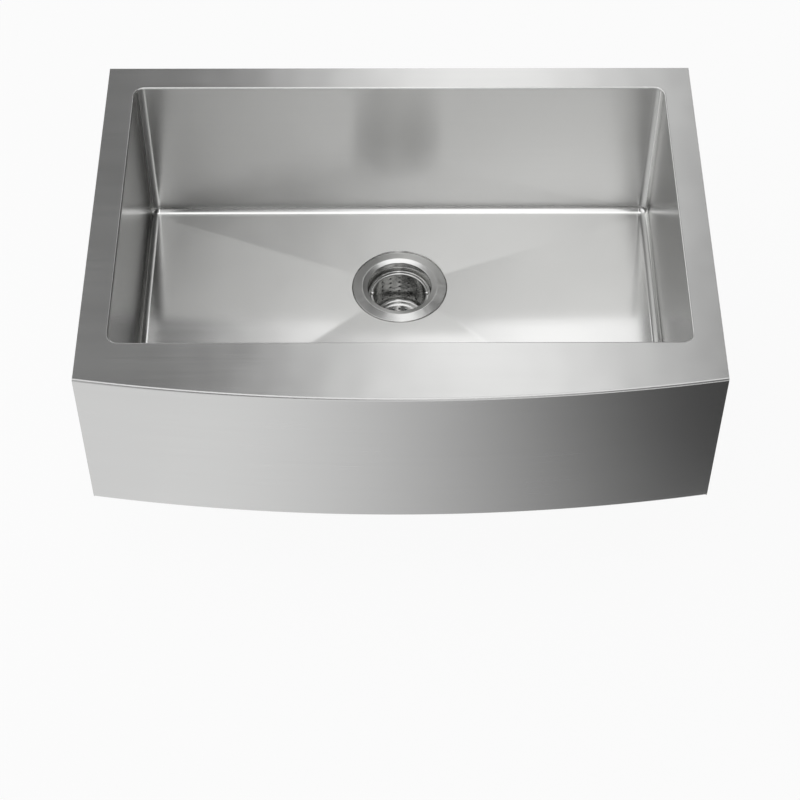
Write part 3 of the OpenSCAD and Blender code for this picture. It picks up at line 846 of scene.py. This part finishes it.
# The ceiling's soft strips: where each lies from left to right, and how bright it is behind the sink, in front of it
# and higher up in front of it.
STRIPS_AT = (-1, -0.5, -0.3, -0.2, -0.14, -0.09, -0.05, -0.02, 0.01, 0.04, 0.07, 0.1, 0.14, 0.19, 0.3, 0.6, 1)
STRIPS_BEHIND = (1.3, 0.94, 0.56, 0.24, 0.07, 0.08, 0.34, 0.78, 1.18, 1.34, 1.22, 0.87, 0.44, 0.17, 0.06, 0.04, 0.04)
STRIPS_BEFORE = (1.3, 0.92, 0.45, 0.13, 0.02, 0.04, 0.35, 0.85, 1.3, 1.5, 1.45, 1.15, 0.75, 0.38, 0.12, 0.03, 0.03)
STRIPS_HIGHER = (1.1, 0.7, 0.33, 0.08, 0.02, 0.2, 0.75, 1.2, 1.45, 1.6, 1.5, 1.25, 0.85, 0.48, 0.16, 0.04, 0.04)
OVERHEAD = 1.35
ALL_ROUND = 0.2
FRONT_WALL = 0.9
CARD_AT, CARD_HALF_WIDTH, CARD_HALF_DEPTH = (0.3, -1.03), 0.65, 0.47
CARD_LEFT, CARD_RIGHT = 0.98, 0.07
FLOOR_GLOW = 0.93


def strip_light(shader, across, levels):
    """A ceiling of long soft strips: how bright it is at each place across, from left to right."""
    most = max(max(levels), 0.001)
    stops = [((x + 1) / 2, (level / most,) * 3 + (1,)) for x, level in zip(STRIPS_AT, levels)]
    return shader.value("ShaderNodeValToRGB", {"stops": stops}, {0: across * 0.5 + 0.5}) * most


def light_world():
    """The studio: a dim wall all round and a bright one in front, under a ceiling with soft strips. Each part of it
    begins at a height or a distance of the direction looked in, and fades into the next."""
    world = bpy.data.worlds.new("studio")
    bpy.context.scene.world = world
    world.use_nodes = True
    shader = Shader(world.node_tree)
    way = Value(shader, shader.node("ShaderNodeTexCoord").outputs["Generated"])
    x, y, z = (Value(shader, out) for out in shader.node("ShaderNodeSeparateXYZ", None, {0: way}).outputs)

    def rise(value, start, end):
        return shader.value("ShaderNodeMapRange", {"interpolation_type": "SMOOTHSTEP"}, {0: value, 1: start, 2: end})

    behind_sink = strip_light(shader, x, STRIPS_BEHIND)
    higher = rise(z, 0.71, 0.75)
    before_sink = strip_light(shader, x, STRIPS_BEFORE) * (1 - higher) + strip_light(shader, x, STRIPS_HIGHER) * higher
    front, above, overhead = rise(y, 0.2, -0.2), rise(z, 0.1, 0.3), rise(z, 0.88, 0.95)
    strips = before_sink * front + behind_sink * (1 - front)
    ceiling = strips * (1 - overhead) + overhead * OVERHEAD
    in_front = rise(y, -0.84, -0.94)
    wall = ALL_ROUND + in_front * (FRONT_WALL - ALL_ROUND)
    over_wall = above * (1 - in_front)
    level = ceiling * over_wall + (1 - over_wall) * wall
    background = shader.value("ShaderNodeBackground", None, {"Color": (1, 1, 1, 1), "Strength": level})
    shader.node("ShaderNodeOutputWorld", None, {"Surface": background})


bowl_skin()
deck_plate()
apron_skin()
apron_return("left_return", -1)
apron_return("right_return", 1)
strainer_skin()
basket_wall()
basket_bottom()
basket_rim()
rim_ear("left_ear", -1)
rim_ear("right_ear", 1)
bail_wire()
shell_skin()
outlet_thread()
nut_skin()
finish_nodes()
place_camera()
lay_floor()
light_world()
hang_card("front reflector", (*CARD_AT, cad_box[0].z + 0.01), (CARD_HALF_WIDTH, 0, 0), (0, CARD_HALF_DEPTH, 0),
          CARD_LEFT, CARD_RIGHT)

bpy.context.scene.view_settings.view_transform = "Standard"
